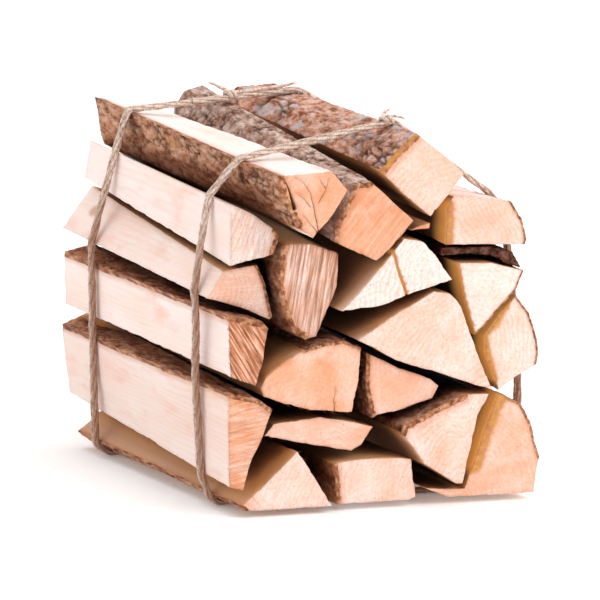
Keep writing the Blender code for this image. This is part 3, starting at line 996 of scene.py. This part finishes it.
def knot_lines(knot, run):
    """Two small loops of strand drawn tight round each other: the knot."""
    side = Vector((0.0, 1.0, 0.0))
    up = side.cross(run)
    if up.z < 0:
        up.negate()
    loops = []
    for number, shift in enumerate((-2.2, 2.2)):
        loop = []
        for step in range(22):
            angle = 2 * math.pi * step / 22
            loop.append(
                knot + run * (shift + 1.2 * math.sin(angle + number))
                + side * 3.6 * math.cos(angle) + up * (1.4 + 2.5 * math.sin(angle))
            )
        loops.append(loop)
    return loops


def tail_line(knot, offsets):
    """A smooth line through a loose end's points."""
    points = [knot + Vector(offset) for offset in offsets]
    line = []
    for index in range(len(points) - 1):
        before = points[max(0, index - 1)]
        first = points[index]
        second = points[index + 1]
        after = points[min(len(points) - 1, index + 2)]
        for step in range(8):
            share = step / 8
            line.append(0.5 * (
                2 * first + (second - before) * share
                + (2 * before - 5 * first + 4 * second - after) * share ** 2
                + (3 * first - before - 3 * second + after) * share ** 3
            ))
    line.append(points[-1])
    return line


def fibre_lines(route, count, rng):
    """Loose fibres that leave the strand at a shallow angle and curl away."""
    lines = []
    for _ in range(count):
        number = rng.randrange(len(route))
        point = route[number]
        run = (route[(number + 1) % len(route)] - route[number - 1]).normalized()
        if rng.random() < 0.5:
            run = -run
        side = run.cross(Vector((0.0, 1.0, 0.0))).normalized()
        angle = rng.uniform(0, 2 * math.pi)
        out = side * math.cos(angle) + run.cross(side) * math.sin(angle)
        bend = run.cross(out) * rng.uniform(-1.2, 1.2)
        length = rng.uniform(1.5, 5.0)
        start = point + out * STRAND_RADIUS * 0.75
        middle = start + run * length * 0.55 + out * rng.uniform(0.2, 0.9)
        end = middle + run * length * 0.35 + out * rng.uniform(0.1, 1.4) + bend
        lines.append([start, middle, end])
    return lines


def make_twine(name, y, knot_x, tails, laid=0.0):
    """Two turns of twine round the dressed splits, with the knot, the loose ends and the fuzz.

    Laid is the length of a loose end that follows the turns to the right before it lifts away.
    """
    rng = random.Random(name)
    meshes = []
    routes = []
    for number, side in enumerate((-0.5, 0.5)):
        route = strand_route(y, y + side * STRAND_SPACING, side * 2)
        routes.append(route)
        plies = twist_plies(route, number * 1.3)
        meshes.append(cords_as_mesh(name, plies, PLY_RADIUS, True))
    upper = [point for point in routes[0] if point.z > TOP_HEIGHT]
    knot = min(upper, key=lambda point: abs(point.x - knot_x)).copy()
    knot.y = y
    nearest = min(range(len(routes[0])), key=lambda i: abs(routes[0][i].x - knot_x) - routes[0][i].z)
    run = (routes[0][(nearest + 2) % len(routes[0])] - routes[0][nearest - 2]).normalized()
    meshes.append(cords_as_mesh(name, knot_lines(knot, run), PLY_RADIUS * 1.25, True))
    tail_routes = [tail_line(knot, tail) for tail in tails]
    if laid:
        steps = round(laid / POINT_STEP)
        tail_routes.append([
            routes[0][nearest - step] + Vector((0.0, 1.0, 1.5 * STRAND_RADIUS + 1.2 * (step / steps) ** 3))
            for step in range(0, steps, 2)
        ])
    meshes.append(cords_as_mesh(name, tail_routes, PLY_RADIUS * 1.3, False, (1.0, 0.75)))
    frayed = []
    for tail in tail_routes:
        run_out = (tail[-1] - tail[-4]).normalized()
        for _ in range(FRAYED_PER_END):
            start = tail[-2] + Vector([rng.uniform(-0.5, 0.5) for _ in range(3)])
            splay = Vector([rng.uniform(-1, 1) for _ in range(3)]) * rng.uniform(0.3, 2.6)
            reach = run_out * rng.uniform(3, 8)
            frayed.append([start, start + reach * 0.5 + splay * 0.35, start + reach + splay])
    fibres = [line for route in routes for line in fibre_lines(route, FIBRES_PER_TWINE // 2, rng)]
    meshes.append(cords_as_mesh(name, frayed, FRAYED_RADIUS, False, (1.0, 0.4)))
    meshes.append(cords_as_mesh(name, fibres, FIBRE_RADIUS, False, (1.0, 0.4)))

    bm = bmesh.new()
    low_shade = bm.verts.layers.float.new("low_shade")
    for number, mesh in enumerate(meshes):
        first = len(bm.verts)
        bm.from_mesh(mesh)
        bm.verts.ensure_lookup_table()
        for vertex in bm.verts[first:]:
            # Painted shade: darker lower down, and more on the first turn than on the other pieces.
            low = 1.0 - smooth_step(150, 200, vertex.co.z / MM)
            vertex[low_shade] = low if number == 0 else 0.25 * low
    centre = KDTree(sum(len(route) for route in routes))
    for number, point in enumerate(point for route in routes for point in route):
        centre.insert(point * MM, number)
    centre.balance()
    # Painted shade: darker close to each strand's middle line, in the grooves between the plies.
    crease_shade = bm.verts.layers.float.new("crease_shade")
    for vertex in bm.verts:
        from_middle = centre.find(vertex.co)[2] / MM
        vertex[crease_shade] = 1.0 - smooth_step(0.9, 1.75, from_middle)
        vertex.co.z = max(vertex.co.z, 0.0)
    bmesh.ops.recalc_face_normals(bm, faces=bm.faces[:])
    mesh = bpy.data.meshes.new(name + "_wound")
    bm.to_mesh(mesh)
    bm.free()
    mesh.shade_smooth()
    mesh.materials.clear()
    mesh.materials.append(JUTE_MATERIAL)
    obj = bpy.data.objects.new(name + "_wound", mesh)
    bpy.context.scene.collection.objects.link(obj)
    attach(obj, "root")
    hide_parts(name)


make_twine("front_twine", FRONT_TWINE_Y, 23.7, [
    [(0.5, 0.2, 2.0), (1.5, -1.5, 3.8), (3, -3, 4.6), (4.5, -4.5, 4.4)],
    [(-0.4, 0.3, 2.0), (-2, 2, 4.2), (-1, 4, 5.8), (1.0, 6, 6.4)],
])
make_twine("rear_twine", REAR_TWINE_Y, -10.3, [
    [(-0.3, 0.2, 2.0), (-2, 3, 4.0), (-4.5, 6, 5.6), (-7, 8, 6.8)],
], laid=44.0)

# The floor, the lights and the camera.
# A white studio sweep under broad soft light from above and the front right, and a very long lens from the
# front left, a little above the bundle.
STAGE_WHITE = "#FAFAFA"
FLOOR_HALF = 8.0
# The paper is lit from behind, so that only the deepest shadow shows on it.
FLOOR_GLOW = 0.14
CAMERA_AIM = Vector((0.0037, 0.0076, 0.115))
CAMERA_DISTANCE = 10.0
CAMERA_AZIMUTH = math.radians(20)
CAMERA_ELEVATION = math.radians(9)
PIXELS_PER_METRE = 1500.0
IMAGE_PIXELS = 600
SENSOR = 36.0
WORLD_LIGHT = 0.85
# Each sun: the way to it, its strength, and how many degrees of the sky it fills.
SOFT_SUNS = {
    "key_softbox": ((0.5, -0.6, 0.62), 1.0, 40),
    "top_softbox": ((0.1, 0.15, 1.0), 0.75, 60),
}


def add_floor():
    bm = bmesh.new()
    bmesh.ops.create_grid(bm, x_segments=1, y_segments=1, size=FLOOR_HALF)
    mesh = bpy.data.meshes.new("floor")
    bm.to_mesh(mesh)
    bm.free()
    floor = bpy.data.objects.new("floor", mesh)
    bpy.context.scene.collection.objects.link(floor)
    material, _, shader = new_material("white_paper", 0.9, 0.1)
    shader.inputs["Base Color"].default_value = linear(STAGE_WHITE)
    shader.inputs["Emission Color"].default_value = linear(STAGE_WHITE)
    shader.inputs["Emission Strength"].default_value = FLOOR_GLOW
    mesh.materials.append(material)


def add_soft_sun(name, direction, strength, softness):
    """A broad soft light from this direction, the same over the whole floor."""
    data = bpy.data.lights.new(name, "SUN")
    data.energy = strength
    data.angle = math.radians(softness)
    light = bpy.data.objects.new(name, data)
    light.rotation_euler = (-Vector(direction)).to_track_quat("-Z", "Y").to_euler()
    bpy.context.scene.collection.objects.link(light)


def add_world():
    world = bpy.data.worlds.new("studio")
    world.use_nodes = True
    background = world.node_tree.nodes["Background"]
    background.inputs["Color"].default_value = (1.0, 1.0, 1.0, 1.0)
    background.inputs["Strength"].default_value = WORLD_LIGHT
    bpy.context.scene.world = world


def add_camera():
    flat = math.cos(CAMERA_ELEVATION)
    ahead = Vector((
        math.sin(CAMERA_AZIMUTH) * flat, math.cos(CAMERA_AZIMUTH) * flat, -math.sin(CAMERA_ELEVATION)
    ))
    data = bpy.data.cameras.new("camera")
    data.sensor_width = SENSOR
    data.lens = PIXELS_PER_METRE * CAMERA_DISTANCE / IMAGE_PIXELS * SENSOR
    data.clip_end = 100.0
    camera = bpy.data.objects.new("camera", data)
    camera.location = CAMERA_AIM - ahead * CAMERA_DISTANCE
    camera.rotation_euler = ahead.to_track_quat("-Z", "Y").to_euler()
    bpy.context.scene.collection.objects.link(camera)
    bpy.context.scene.camera = camera


add_floor()
add_world()
for sun_name, settings in SOFT_SUNS.items():
    add_soft_sun(sun_name, *settings)
add_camera()
bpy.context.scene.view_settings.view_transform = "Standard"
